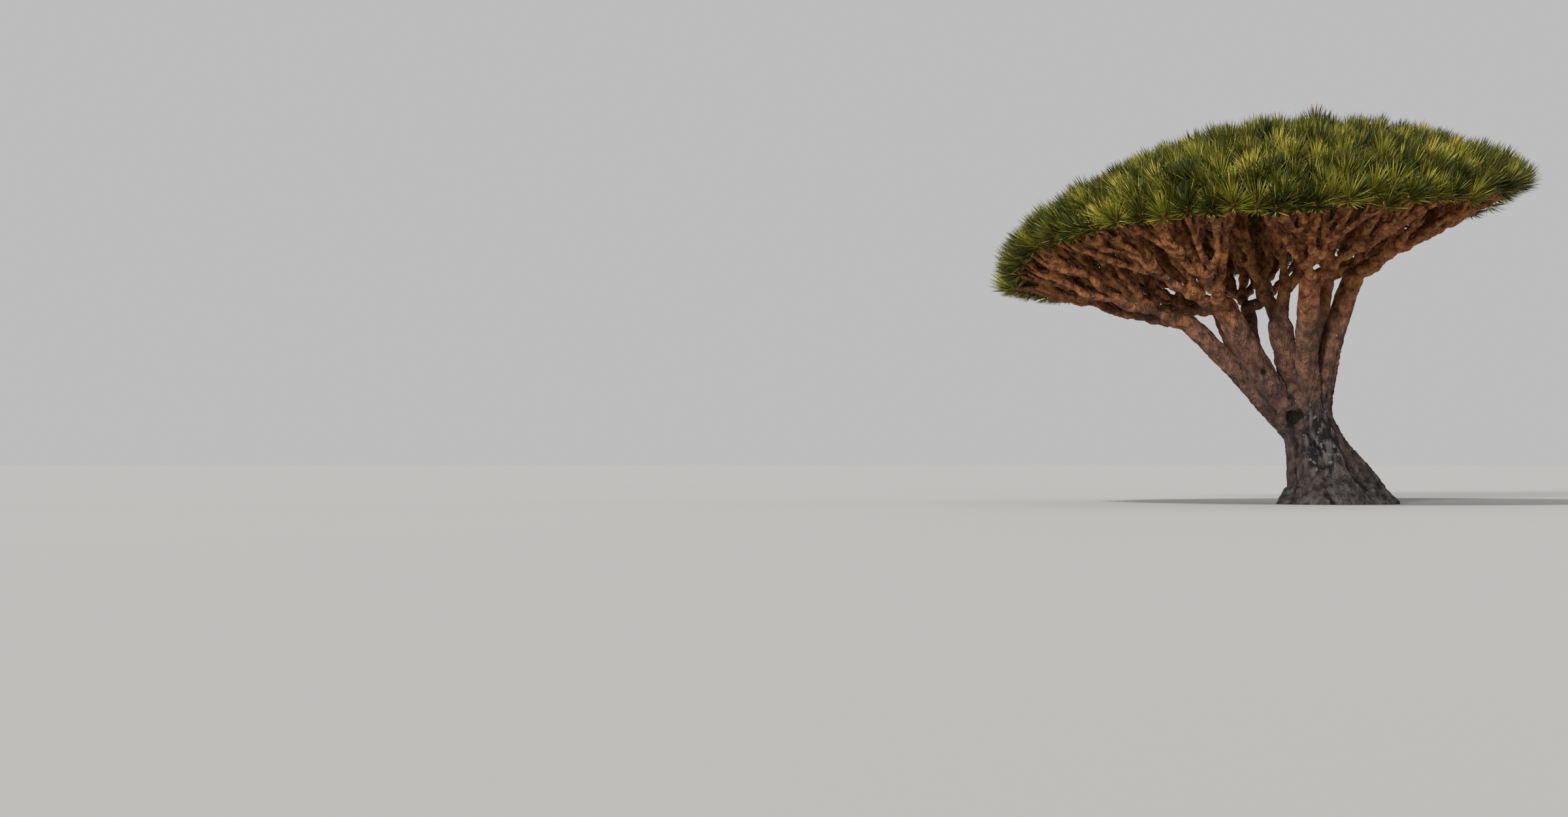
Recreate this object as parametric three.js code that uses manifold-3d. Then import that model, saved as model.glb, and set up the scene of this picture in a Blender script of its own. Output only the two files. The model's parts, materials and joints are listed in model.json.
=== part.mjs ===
// A dragon blood tree: a leaning trunk that forks into eight boughs, which fork again and again under
// an umbrella of stiff leaf rosettes. Millimetres, +Z up. The origin is the middle of the flat cut at
// ground level, -Y is the side seen in front, and X runs from the low left rim to the high right rim.
import * as THREE from "three";
import { mergeVertices } from "three/addons/utils/BufferGeometryUtils.js";
import Module from "manifold-3d";

const wasm = await Module();
wasm.setup();

// The crown is a dome on a tilted rim: it rises to the right by its tilt and to the front by its nod,
// and the twist lifts its front left quarter and sinks its front right one. Leaf tips end on it. Twigs
// end below it by the depth of a leaf rosette, and early limbs run near its underside, which sinks
// towards the middle.
const CROWN = {
  middle: [-1335, 0, 5260], tilt: 11.2, nod: 2.6, twist: 400,
  width: 10440, depth: 10000, rise: 2080, fullness: 1.54,
};
const ROSETTE = { depth: 430, insetAtRim: 1.05, dropAtRim: 0.62 };
const UNDERSIDE = { fullFrom: 0.8, shape: 1.5, pastRim: 1.5 };
const EASING = { middle: 1.12, power: 6 };
const TUFT = { spot: [0.218, 0], rise: 190, leaves: 3, spread: 0.02 };

// The trunk's axis leans to the left. The barrel widens at its foot, where the roots stand out.
const TRUNK = {
  axis: [
    [70, -300], [50, 0], [-5, 540], [-160, 870], [-330, 1270], [-470, 1640], [-600, 2060], [-700, 2500],
  ],
  barrel: 570, head: 430, flare: 400, flareHeight: 720, flareShape: 1.7, rootHeight: 380,
  sides: 20, rings: 12,
};
const ROOTS = [
  { bearing: -15, reach: 260, spread: 0.3 },
  { bearing: 45, reach: 150, spread: 0.42 },
  { bearing: 105, reach: 200, spread: 0.4 },
  { bearing: 165, reach: 130, spread: 0.36 },
  { bearing: 218, reach: 280, spread: 0.28 },
  { bearing: 268, reach: 160, spread: 0.4 },
];

// Each bough: the middle of its share of the crown (in a unit disk seen from above), the height where
// it starts inside the trunk, a point that it passes through, its first fork, its two radii, the part
// of its length that is still one with the trunk, how low its limbs run on the way to the rim, and the
// number that its forks are drawn from.
const BOUGHS = [
  { name: "left", share: [-0.67, -0.09], foot: 1150, by: [-1640, -60, 2420], fork: [-2733, -110, 3514],
    radii: [265, 178], stump: 0.66, hang: 1.3, seed: 87 },
  { name: "front_left", share: [-0.32, -0.6], foot: 1150, by: [-1300, -400, 2500],
    fork: [-1990, -767, 3754], radii: [305, 240], stump: 0.5, hang: 1.257, seed: 144 },
  { name: "front_right", share: [0.29, -0.62], foot: 1250, by: [-450, -420, 2700],
    fork: [-387, -1163, 4150], radii: [240, 212], stump: 0.5, hang: 1.029, seed: 63 },
  { name: "right", share: [0.68, -0.09], foot: 1200, by: [-40, -60, 2900], fork: [419, -93, 4350],
    radii: [235, 205], stump: 0.5, hang: 0.638, seed: 63 },
  { name: "back_right", share: [0.5, 0.455], foot: 1250, by: [-280, 470, 2900], fork: [-66, 1140, 4444],
    radii: [190, 150], stump: 0.5, hang: 0.864, seed: 79 },
  { name: "back", share: [-0.02, 0.68], foot: 1250, by: [-1400, 720, 2800], fork: [-1607, 1406, 3858],
    radii: [170, 140], stump: 0.5, hang: 1.3, seed: 64 },
  { name: "back_left", share: [-0.52, 0.44], foot: 1100, by: [-1700, 560, 2600],
    fork: [-2246, 1031, 3835], radii: [150, 85], stump: 0.5, hang: 1.3, seed: 97 },
  { name: "centre", share: [0, 0], foot: 1300, by: [-830, 150, 2800], fork: [-967, -14, 3422],
    radii: [250, 235], stump: 0.5, hang: 1.191, seed: 45 },
];
// A bough's foot lies this part of the way from the trunk's axis to the point that it passes through.
const BOUGH = { footShare: 0.15, taper: 0.7, sides: 10, rings: 8 };

// The rule that every fork follows. A limb serves a share of the crown, and its fork halves the share
// across its longest way, slightly askew. A share near ROSETTE_SHARE of the disk is one rosette.
const ROSETTE_SHARE = Math.PI / 640;
const FORK = { twist: 0.9, shift: 0.3, wander: 0.2, branchPart: 0.2, lengthening: 1.1, lowUntil: 4.5,
  lowShape: 1.2 };
// A twig is as thick as its forks still to come make it. A new limb's foot counts part of a fork more.
const TWIG = { radius: 55, thickening: 1.2, branchFoot: 0.8, asideFoot: 0.6, asideShare: 0.9 };
const SIDES = { branch: 8, stem: 6, twig: 3 };
// One spray of leaves here stands for the eight rosettes that three more forks would give.
const FORKS_LEFT_OUT = 3;
const SPRAY = { leaves: 7, ring: 0.66, core: 0.5, coreEdge: 200, coreTop: 60, sink: 90, tipRise: 90,
  width: 160, thickness: 34, widestAt: 0.38, unevenTurn: 0.2, unevenReach: 0.4 };
// Free space between pieces, between the masses' shares of the disk, and the part of a branch that
// belongs to the mass on it.
const GAP = 0.3;
const MASS_GAP = 0.012;
const STEM_PART = 0.2;

const RIM_CORNERS = 48;
const SPACE_RADIUS = 1.6;
const HELD_STEP = 0.05;

// What each repeatable number is drawn for. Leaves count on from the last two.
const DRAW = { bearing: 1, shift: 2, wander: [3, 4, 5], turn: 6, leafTurn: 8, leafReach: 20 };

// A repeatable number from 0 to 1 for one fork and one purpose.
function chance(id, purpose) {
  const value = Math.sin(id * 12.9898 + purpose * 78.233) * 43758.5453;
  return value - Math.floor(value);
}

function radians(degrees) {
  return (degrees * Math.PI) / 180;
}

// Closed three.js shapes become solids, and a joined solid becomes a shape again.
function solidOf(geometry) {
  const bare = geometry.clone();
  bare.deleteAttribute("normal");
  bare.deleteAttribute("uv");
  const merged = mergeVertices(bare, 1e-3);
  const mesh = new wasm.Mesh({
    numProp: 3,
    vertProperties: merged.attributes.position.array,
    triVerts: new Uint32Array(merged.index.array),
  });
  return new wasm.Manifold(mesh);
}

function geometryOf(solid) {
  const mesh = solid.getMesh();
  const geometry = new THREE.BufferGeometry();
  geometry.setAttribute("position", new THREE.BufferAttribute(mesh.vertProperties, 3));
  geometry.setIndex(new THREE.BufferAttribute(mesh.triVerts, 1));
  geometry.computeVertexNormals();
  return geometry;
}

// A plane to cut along: what lies less than gap beyond it, along direction, is taken off.
function plane(point, direction, gap) {
  return { point, direction: direction.clone().normalize(), gap };
}

function cutBy(solid, planes) {
  return planes.reduce((rest, { point, direction, gap }) => {
    return rest.trimByPlane(direction.toArray(), direction.dot(point) + gap);
  }, solid);
}

// A smooth curve that counts its length in points, so that evenly spaced rings fall on every point.
class LimbCurve extends THREE.CatmullRomCurve3 {
  constructor(points) {
    super(points, false, "centripetal");
  }

  getUtoTmapping(share) {
    return share;
  }
}

// A tapering limb: a cylinder whose rings are carried along a curve. radiusAt takes the share of the
// curve and the direction in which the radius points.
function limb(curve, radiusAt, sides, steps) {
  const shape = new THREE.CylinderGeometry(1, 1, 1, sides, steps);
  const frames = curve.computeFrenetFrames(steps);
  const corners = shape.attributes.position;
  for (let i = 0; i < corners.count; i++) {
    const share = corners.getY(i) + 0.5;
    const ring = Math.round(share * steps);
    const offset = frames.normals[ring].clone().multiplyScalar(corners.getX(i));
    offset.addScaledVector(frames.binormals[ring], -corners.getZ(i));
    const isOnAxis = offset.length() < 0.5;
    const radius = isOnAxis ? 0 : radiusAt(share, offset);
    const corner = curve.getPointAt(share).addScaledVector(offset, radius);
    corners.setXYZ(i, corner.x, corner.y, corner.z);
  }
  return solidOf(shape);
}

// The crown's half sizes, measured along its tilted rim, and the turn that tilts it.
const HALF = { x: CROWN.width / 2 / Math.cos(radians(CROWN.tilt)), y: CROWN.depth / 2 };
const NODDED = new THREE.Matrix4().makeRotationX(-radians(CROWN.nod));
const LEAN = new THREE.Matrix4().makeRotationY(-radians(CROWN.tilt)).multiply(NODDED);
LEAN.setPosition(...CROWN.middle);
const LEVELLED = LEAN.clone().invert();

// How far the twist lifts a spot of the unit disk.
function twistAt(p, q) {
  return 2 * CROWN.twist * p * Math.min(0, q);
}

// How steeply a bough's underside falls from the rim in to its fork.
function undersideSlope(fork) {
  const { x, y, z } = new THREE.Vector3(...fork).applyMatrix4(LEVELLED);
  const [p, q] = [x / HALF.x, y / HALF.y];
  return (twistAt(p, q) - z - ROSETTE.depth * ROSETTE.dropAtRim) / (1 - Math.hypot(p, q));
}

// A point under the crown's surface, over a point of the unit disk. The radius is eased so that equal
// shares of the disk are equal areas of the surface, and past the rim the surface turns down. depth
// is how far it lies inside the leaf tips. lowness goes from 0 up there to 1 at the underside.
function crownPoint([p, q], depth, lowness = 0, slope = 0) {
  const away = Math.hypot(p, q);
  const eased = EASING.middle - (EASING.middle - 1) * away ** EASING.power;
  const radius = away < 1 ? away * eased : 1;
  const arch = (1 - radius ** CROWN.fullness) ** (1 / CROWN.fullness);
  const dome = away < 1 ? arch : UNDERSIDE.pastRim * (1 - away);
  const drop = depth * ROSETTE.dropAtRim;
  const top = dome * CROWN.rise - drop - (depth - drop) * Math.max(0, dome);
  const under = -drop - slope * (1 - radius);
  const sunk = lowness * Math.min(1, radius / UNDERSIDE.fullFrom) ** UNDERSIDE.shape;
  const outward = away > 0 ? radius / away : 0;
  const inset = depth * ROSETTE.insetAtRim;
  return new THREE.Vector3(
    p * outward * (HALF.x - inset),
    q * outward * (HALF.y - inset),
    top + sunk * (under - top) + twistAt(p, q),
  ).applyMatrix4(LEAN);
}

// Shares of the crown are convex polygons in the unit disk.
function circle(radius) {
  return Array.from({ length: RIM_CORNERS }, (_, i) => {
    const angle = (2 * Math.PI * i) / RIM_CORNERS;
    return [radius * Math.cos(angle), radius * Math.sin(angle)];
  });
}

// What is left of a polygon where (x, y) . normal is at least offset.
function clip(polygon, normal, offset) {
  const height = ([x, y]) => x * normal[0] + y * normal[1] - offset;
  return polygon.flatMap((corner, i) => {
    const next = polygon[(i + 1) % polygon.length];
    const [here, there] = [height(corner), height(next)];
    const kept = here >= 0 ? [corner] : [];
    if (here >= 0 === there >= 0) return kept;
    const share = here / (here - there);
    return [...kept, [0, 1].map((k) => corner[k] + share * (next[k] - corner[k]))];
  });
}

// Area, middle and the bearing of the longest way across a polygon.
function measure(polygon) {
  const sums = { area: 0, x: 0, y: 0, xx: 0, yy: 0, xy: 0 };
  polygon.forEach((a, i) => {
    const b = polygon[(i + 1) % polygon.length];
    const twice = a[0] * b[1] - b[0] * a[1];
    sums.area += twice / 2;
    sums.x += (twice * (a[0] + b[0])) / 6;
    sums.y += (twice * (a[1] + b[1])) / 6;
    sums.xx += (twice * (a[0] * a[0] + a[0] * b[0] + b[0] * b[0])) / 12;
    sums.yy += (twice * (a[1] * a[1] + a[1] * b[1] + b[1] * b[1])) / 12;
    sums.xy += (twice * (2 * a[0] * a[1] + a[0] * b[1] + b[0] * a[1] + 2 * b[0] * b[1])) / 24;
  });
  const middle = [sums.x / sums.area, sums.y / sums.area];
  const xx = sums.xx / sums.area - middle[0] ** 2;
  const yy = sums.yy / sums.area - middle[1] ** 2;
  const xy = sums.xy / sums.area - middle[0] * middle[1];
  return { area: sums.area, middle, bearing: 0.5 * Math.atan2(2 * xy, xx - yy) };
}

// The share of the crown that lies nearer to one bough's middle than to any other's.
function shareOf(bough, outline) {
  return BOUGHS.filter((other) => other !== bough).reduce((polygon, other) => {
    const normal = [0, 1].map((k) => bough.share[k] - other.share[k]);
    const offset = (Math.hypot(...bough.share) ** 2 - Math.hypot(...other.share) ** 2) / 2;
    return clip(polygon, normal, offset);
  }, outline);
}

function forksLeft(share) {
  return Math.max(0, Math.round(Math.log2(measure(share).area / ROSETTE_SHARE)));
}

function radiusFor(left) {
  return TWIG.radius * TWIG.thickening ** left;
}

// Halves a share. Its space is the same share with the rim's side left open, for leaves that hang out.
function halves({ share, space, id, slope }) {
  const { area, middle, bearing } = measure(share);
  const angle = bearing + FORK.twist * (chance(id, DRAW.bearing) - 0.5);
  const normal = [Math.cos(angle), Math.sin(angle)];
  const shift = FORK.shift * Math.sqrt(area) * (chance(id, DRAW.shift) - 0.5);
  const offset = normal[0] * middle[0] + normal[1] * middle[1] + shift;
  return [1, -1].map((side, k) => {
    const facing = [side * normal[0], side * normal[1]];
    return {
      id: 2 * id + k,
      slope,
      share: clip(share, facing, side * offset),
      space: clip(space, facing, side * offset),
    };
  });
}

// Where the limb that serves a share ends: part of the way to the middle of the share. Early limbs
// aim at the underside. Where no part is given, it is such that each later limb will be a little
// longer than the one that bears it.
function limbEnd(start, { share, id, slope }, givenPart) {
  const left = forksLeft(share);
  const { middle } = measure(share);
  if (left <= FORKS_LEFT_OUT) return crownPoint(middle, ROSETTE.depth);
  const lowness = Math.min(1, left / FORK.lowUntil) ** FORK.lowShape;
  const way = crownPoint(middle, ROSETTE.depth, lowness, slope).sub(start);
  const part = givenPart ?? (FORK.lengthening - 1) / (FORK.lengthening ** (left + 1) - 1);
  const drift = DRAW.wander.map((purpose) => chance(id, purpose) - 0.5);
  const wander = new THREE.Vector3(...drift).multiplyScalar(FORK.wander * way.length() * part);
  return start.clone().addScaledVector(way, part).add(wander);
}

// The whole fork tree of a share, as far as this model carries it.
function grow(start, cell, givenPart) {
  const left = forksLeft(cell.share);
  const end = limbEnd(start, cell, givenPart);
  const children = left > FORKS_LEFT_OUT ? halves(cell).map((half) => grow(end, half)) : [];
  return { ...cell, left, start, end, children };
}

// The trunk without its boughs. Its radius is the barrel's, a flare and the root lobes.
function trunkCurve() {
  return new LimbCurve(TRUNK.axis.map(([x, z]) => new THREE.Vector3(x, 0, z)));
}

function trunkRadius(axisHeight, direction) {
  const above = Math.max(0, axisHeight + TRUNK.barrel * direction.z);
  const bearing = Math.atan2(direction.y, direction.x);
  const rise = above / TRUNK.axis.at(-1)[1];
  const flare = TRUNK.flare * Math.exp(-((above / TRUNK.flareHeight) ** TRUNK.flareShape));
  const lobes = ROOTS.reduce((sum, root) => {
    const turn = Math.cos(bearing - radians(root.bearing));
    return sum + root.reach * Math.exp((turn - 1) / root.spread ** 2);
  }, 0);
  const barrel = TRUNK.barrel + (TRUNK.head - TRUNK.barrel) * rise;
  return barrel + flare + lobes * Math.exp(-above / TRUNK.rootHeight);
}

function trunkBarrel() {
  const curve = trunkCurve();
  const radiusAt = (share, direction) => trunkRadius(curve.getPointAt(share).z, direction);
  return limb(curve, radiusAt, TRUNK.sides, TRUNK.rings);
}

// The height above the ground at which a bough starts gives its place on the trunk's axis.
function trunkAxisAt(z) {
  const k = TRUNK.axis.findIndex((point) => point[1] > z);
  const [[x0, z0], [x1, z1]] = [TRUNK.axis[k - 1], TRUNK.axis[k]];
  return x0 + ((x1 - x0) * (z - z0)) / (z1 - z0);
}

function boughCurve(bough) {
  const by = new THREE.Vector3(...bough.by);
  const foot = new THREE.Vector3(trunkAxisAt(bough.foot), 0, bough.foot);
  foot.lerp(by, BOUGH.footShare).setZ(bough.foot);
  return new LimbCurve([foot, by, new THREE.Vector3(...bough.fork)]);
}

// A whole bough, from inside the trunk to its first fork, drawn larger by a margin where asked.
function boughSolid(bough, margin = 0) {
  const [foot, tip] = bough.radii;
  const radiusAt = (share) => foot + (tip - foot) * share ** BOUGH.taper + margin;
  return limb(boughCurve(bough), radiusAt, BOUGH.sides, BOUGH.rings);
}

// The two limbs of one fork are cut clear of the limb below, and apart on the plane between them.
function planesAtFork(direction, own, other) {
  const way = ({ start, end }) => end.clone().sub(start).normalize();
  return [plane(own.start, direction, GAP), plane(own.start, way(own).sub(way(other)), GAP / 2)];
}

// Whether a point of the disk lies in a space, with a margin to the spaces beside it.
function isInside(point, space, margin) {
  return space.every((a, i) => {
    const b = space[(i + 1) % space.length];
    const length = Math.hypot(b[0] - a[0], b[1] - a[1]);
    const depth = ((b[0] - a[0]) * (point[1] - a[1]) - (b[1] - a[1]) * (point[0] - a[0])) / length;
    return depth >= margin;
  });
}

// The furthest point from middle towards point that keeps the margin.
function heldInside(middle, point, space, margin) {
  for (let share = 1; share > HELD_STEP; share -= HELD_STEP) {
    const tried = [0, 1].map((k) => middle[k] + share * (point[k] - middle[k]));
    if (isInside(tried, space, margin)) return tried;
  }
  return middle;
}

// The dense heart of a spray: two six-sided pyramids, base to base, from the twig's end upwards.
function sprayCore(twig) {
  const { middle, area } = measure(twig.share);
  const shape = new THREE.SphereGeometry(1, 6, 2);
  const corners = shape.attributes.position;
  const reach = Math.sqrt(area) * SPRAY.core;
  const turn = 2 * Math.PI * chance(twig.id, DRAW.turn);
  for (let i = 0; i < corners.count; i++) {
    const level = Math.round(corners.getY(i));
    const angle = Math.atan2(corners.getZ(i), corners.getX(i)) + turn;
    const edge = [middle[0] + reach * Math.cos(angle), middle[1] - reach * Math.sin(angle)];
    let corner = twig.end;
    if (level === 0) corner = crownPoint(heldInside(middle, edge, twig.space, MASS_GAP), SPRAY.coreEdge);
    if (level > 0) corner = crownPoint(middle, SPRAY.coreTop);
    corners.setXYZ(i, corner.x, corner.y, corner.z);
  }
  return solidOf(shape);
}

// A stiff leaf: an eight-sided blade, widest near its root, from root to tip.
function leaf(root, tip, flat) {
  const along = tip.clone().sub(root);
  const length = along.length();
  const shape = new THREE.OctahedronGeometry(1);
  shape.scale(SPRAY.width / 2, length / 2, SPRAY.thickness / 2);
  const corners = shape.attributes.position;
  for (let i = 0; i < corners.count; i++) {
    if (Math.abs(corners.getY(i)) < 1) corners.setY(i, (SPRAY.widestAt - 0.5) * length);
  }
  const up = along.normalize();
  const side = new THREE.Vector3().crossVectors(up, flat).normalize();
  const face = new THREE.Vector3().crossVectors(side, up);
  shape.applyMatrix4(new THREE.Matrix4().makeBasis(side, up, face));
  const middle = root.clone().add(tip).multiplyScalar(0.5);
  shape.translate(middle.x, middle.y, middle.z);
  return solidOf(shape);
}

// One rosette stands above the rest of the crown.
function tuftLeaves(root, outward) {
  return Array.from({ length: TUFT.leaves }, (_, i) => {
    const angle = (2 * Math.PI * i) / TUFT.leaves;
    const [p, q] = TUFT.spot;
    const spot = [p + TUFT.spread * Math.cos(angle), q + TUFT.spread * Math.sin(angle)];
    return leaf(root, crownPoint(spot, -TUFT.rise), outward);
  });
}

// The leaves of a spray fan out from its root to the crown's surface. Those that would leave the
// mass's space are skipped.
function sprayLeaves(twig, space) {
  const { middle, area } = measure(twig.share);
  const turn = 2 * Math.PI * chance(twig.id, DRAW.turn);
  const root = intoSpray(twig);
  const outward = root.clone().sub(twig.end);
  const leaves = [];
  for (let i = 0; i < SPRAY.leaves; i++) {
    const aside = 0.5 + SPRAY.unevenTurn * (chance(twig.id, DRAW.leafTurn + i) - 0.5);
    const angle = turn + (2 * Math.PI * (i + aside)) / SPRAY.leaves;
    const further = 1 + SPRAY.unevenReach * (chance(twig.id, DRAW.leafReach + i) - 0.5);
    const reach = Math.sqrt(area) * SPRAY.ring * further;
    const spot = [middle[0] + reach * Math.cos(angle), middle[1] - reach * Math.sin(angle)];
    if (isInside(spot, space, MASS_GAP)) leaves.push(leaf(root, crownPoint(spot, -SPRAY.tipRise), outward));
  }
  return isInside(TUFT.spot, twig.space, 0) ? [...leaves, ...tuftLeaves(root, outward)] : leaves;
}

// A point a little above a twig's end, inside its spray.
function intoSpray({ share, end }) {
  const outward = crownPoint(measure(share).middle, 0).sub(end).normalize();
  return end.clone().addScaledVector(outward, SPRAY.sink);
}

// A limb carries on through its forks into the child that turns least, and the other child starts a
// limb of its own. The result lists every such run as the places where it forks, with a radius at each.
function runsFrom(limbBelow, points, radii, runs) {
  const spots = [...points, limbBelow.end];
  const sizes = [...radii, radiusFor(limbBelow.left)];
  if (!limbBelow.children.length) {
    spots.push(intoSpray(limbBelow));
    runs.push({ points: spots, radii: [...sizes, sizes.at(-1)] });
    return runs;
  }
  const straight = limbBelow.end.clone().sub(limbBelow.start).normalize();
  const turning = ({ start, end }) => end.clone().sub(start).normalize().dot(straight);
  const [onward, aside] = [...limbBelow.children].sort((a, b) => turning(b) - turning(a));
  runsFrom(onward, spots, sizes, runs);
  const foot = TWIG.asideShare * radiusFor(aside.left + TWIG.asideFoot);
  return runsFrom(aside, [aside.start], [foot], runs);
}

// One run as a solid.
function runSolid({ points, radii }, sides) {
  const last = points.length - 1;
  const radiusAt = (share) => {
    const k = Math.min(Math.floor(share * last), last - 1);
    return radii[k] + (radii[k + 1] - radii[k]) * (share * last - k);
  };
  return limb(new LimbCurve(points), radiusAt, sides, last);
}

function sprays(branch) {
  return branch.children.length ? branch.children.flatMap(sprays) : [branch];
}

// A branch and the mass on it grow as one limb, which is cut in two across the branch near its end.
function branchAndMass(branch, planes) {
  const foot = radiusFor(branch.left + TWIG.branchFoot);
  const [stem, ...twigs] = runsFrom(branch, [branch.start], [foot], []);
  const along = branch.end.clone().sub(branch.start);
  const joint = branch.end.clone().addScaledVector(along, -STEM_PART);
  const past = plane(joint, along, GAP);
  const ends = sprays(branch);
  const mass = wasm.Manifold.union([
    cutBy(runSolid(stem, SIDES.stem), [...planes, past]),
    ...twigs.map((run) => cutBy(runSolid(run, SIDES.twig), [past])),
    ...ends.map(sprayCore),
    ...ends.flatMap((end) => sprayLeaves(end, branch.space)),
  ]);
  const short = plane(joint, along.negate(), 0);
  return [cutBy(runSolid(stem, SIDES.branch), [...planes, short]), mass];
}

const bark = new THREE.MeshStandardMaterial({ color: 0x7a5a48, roughness: 0.9, metalness: 0 });
const trunkBark = new THREE.MeshStandardMaterial({ color: 0x6a6264, roughness: 0.95, metalness: 0 });
const foliage = new THREE.MeshStandardMaterial({ color: 0x4c5f22, roughness: 0.6, metalness: 0 });

const tree = new THREE.Group();

function addNode(name, solid, material) {
  const mesh = new THREE.Mesh(geometryOf(solid), material);
  mesh.name = name;
  tree.add(mesh);
}

let trunk = trunkBarrel();
const sleeves = [];

BOUGHS.forEach((bough) => {
  const curve = boughCurve(bough);
  const joint = curve.getPointAt(bough.stump);
  const along = curve.getTangentAt(bough.stump);
  trunk = trunk.add(cutBy(boughSolid(bough), [plane(joint, along.clone().negate(), 0)]));
  sleeves.push(cutBy(boughSolid(bough, GAP), [plane(joint, along, 0)]));
  addNode(`bough_${bough.name}`, cutBy(boughSolid(bough), [plane(joint, along, GAP)]), bark);

  const fork = new THREE.Vector3(...bough.fork);
  const cell = {
    id: bough.seed,
    share: shareOf(bough, circle(1)),
    space: shareOf(bough, circle(SPACE_RADIUS)),
    slope: bough.hang * undersideSlope(bough.fork),
  };
  const branches = halves(cell).map((half) => grow(fork, half, FORK.branchPart));
  branches.forEach((branch, k) => {
    const planes = planesAtFork(curve.getTangentAt(1), branch, branches[1 - k]);
    const [wood, mass] = branchAndMass(branch, planes);
    addNode(`branch_${bough.name}_${k + 1}`, wood, bark);
    addNode(`foliage_${bough.name}_${k + 1}`, mass, foliage);
  });
});

// The stumps of neighbouring boughs are cleared away from each free bough.
trunk = trunk.subtract(wasm.Manifold.union(sleeves));
addNode("trunk", cutBy(trunk, [plane(new THREE.Vector3(), new THREE.Vector3(0, 0, 1), 0)]), trunkBark);

export default tree;
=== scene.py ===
"""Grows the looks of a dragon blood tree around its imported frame.

The rule is the frame's own, in metres. The crown is a dome on a tilted rim, each limb serves a share of
it, and each fork halves that share. Here the forks go on until a share is a single leaf rosette.
"""

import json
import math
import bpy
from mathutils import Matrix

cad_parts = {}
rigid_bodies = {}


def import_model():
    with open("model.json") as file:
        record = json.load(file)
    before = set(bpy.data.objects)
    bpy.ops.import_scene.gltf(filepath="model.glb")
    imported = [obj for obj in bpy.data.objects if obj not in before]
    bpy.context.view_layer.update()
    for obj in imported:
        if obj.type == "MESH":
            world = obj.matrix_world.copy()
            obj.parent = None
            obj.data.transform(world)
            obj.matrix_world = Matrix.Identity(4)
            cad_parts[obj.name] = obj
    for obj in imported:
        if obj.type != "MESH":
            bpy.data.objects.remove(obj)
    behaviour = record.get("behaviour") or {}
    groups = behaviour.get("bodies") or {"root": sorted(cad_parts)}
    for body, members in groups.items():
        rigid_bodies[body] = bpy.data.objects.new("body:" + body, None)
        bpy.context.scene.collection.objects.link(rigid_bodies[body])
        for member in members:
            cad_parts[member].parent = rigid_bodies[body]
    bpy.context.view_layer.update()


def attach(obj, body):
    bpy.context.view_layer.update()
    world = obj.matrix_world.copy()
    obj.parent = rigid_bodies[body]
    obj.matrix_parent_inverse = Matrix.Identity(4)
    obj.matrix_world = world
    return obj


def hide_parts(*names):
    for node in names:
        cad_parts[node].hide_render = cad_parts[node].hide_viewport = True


bl_info = {
    "name": "Dragon Blood Tree",
    "version": (1, 0, 0),
    "blender": (4, 5, 0),
    "location": "3D View > Sidebar > Tree",
    "description": "Grows a dragon blood tree with carved bark, forking twigs and leaf rosettes",
    "category": "Add Mesh",
}

from dataclasses import dataclass

import bmesh
import bpy
import numpy as np
from mathutils import Matrix, Vector, noise

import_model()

# Each bough, as the frame has it: the middle of its share of the crown in a unit disk seen from above,
# the height where it starts inside the trunk, a point that it passes through, its first fork, its two
# radii, the part of it that is one with the trunk, how low its limbs run on the way to the rim, and the
# number that its forks are drawn from.
BOUGHS = {
    "left": {
        "share": (-0.67, -0.09), "foot": 1.15, "by": (-1.64, -0.06, 2.42), "fork": (-2.733, -0.11, 3.514),
        "radii": (0.265, 0.178), "stump": 0.66, "hang": 1.3, "seed": 87,
    },
    "front_left": {
        "share": (-0.32, -0.6), "foot": 1.15, "by": (-1.3, -0.4, 2.5), "fork": (-1.99, -0.767, 3.754),
        "radii": (0.305, 0.24), "stump": 0.5, "hang": 1.257, "seed": 144,
    },
    "front_right": {
        "share": (0.29, -0.62), "foot": 1.25, "by": (-0.45, -0.42, 2.7), "fork": (-0.387, -1.163, 4.15),
        "radii": (0.24, 0.212), "stump": 0.5, "hang": 1.029, "seed": 63,
    },
    "right": {
        "share": (0.68, -0.09), "foot": 1.2, "by": (-0.04, -0.06, 2.9), "fork": (0.419, -0.093, 4.35),
        "radii": (0.235, 0.205), "stump": 0.5, "hang": 0.638, "seed": 63,
    },
    "back_right": {
        "share": (0.5, 0.455), "foot": 1.25, "by": (-0.28, 0.47, 2.9), "fork": (-0.066, 1.14, 4.444),
        "radii": (0.19, 0.15), "stump": 0.5, "hang": 0.864, "seed": 79,
    },
    "back": {
        "share": (-0.02, 0.68), "foot": 1.25, "by": (-1.4, 0.72, 2.8), "fork": (-1.607, 1.406, 3.858),
        "radii": (0.17, 0.14), "stump": 0.5, "hang": 1.3, "seed": 64,
    },
    "back_left": {
        "share": (-0.52, 0.44), "foot": 1.1, "by": (-1.7, 0.56, 2.6), "fork": (-2.246, 1.031, 3.835),
        "radii": (0.15, 0.085), "stump": 0.5, "hang": 1.3, "seed": 97,
    },
    "centre": {
        "share": (0, 0), "foot": 1.3, "by": (-0.83, 0.15, 2.8), "fork": (-0.967, -0.014, 3.422),
        "radii": (0.25, 0.235), "stump": 0.5, "hang": 1.191, "seed": 45,
    },
}
FOOT_SHARE = 0.15
BOUGH_TAPER = 0.7

# The trunk's axis as (x, z).
TRUNK_AXIS = [
    (0.07, -0.3), (0.05, 0), (-0.005, 0.54), (-0.16, 0.87),
    (-0.33, 1.27), (-0.47, 1.64), (-0.6, 2.06), (-0.7, 2.5),
]

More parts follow.
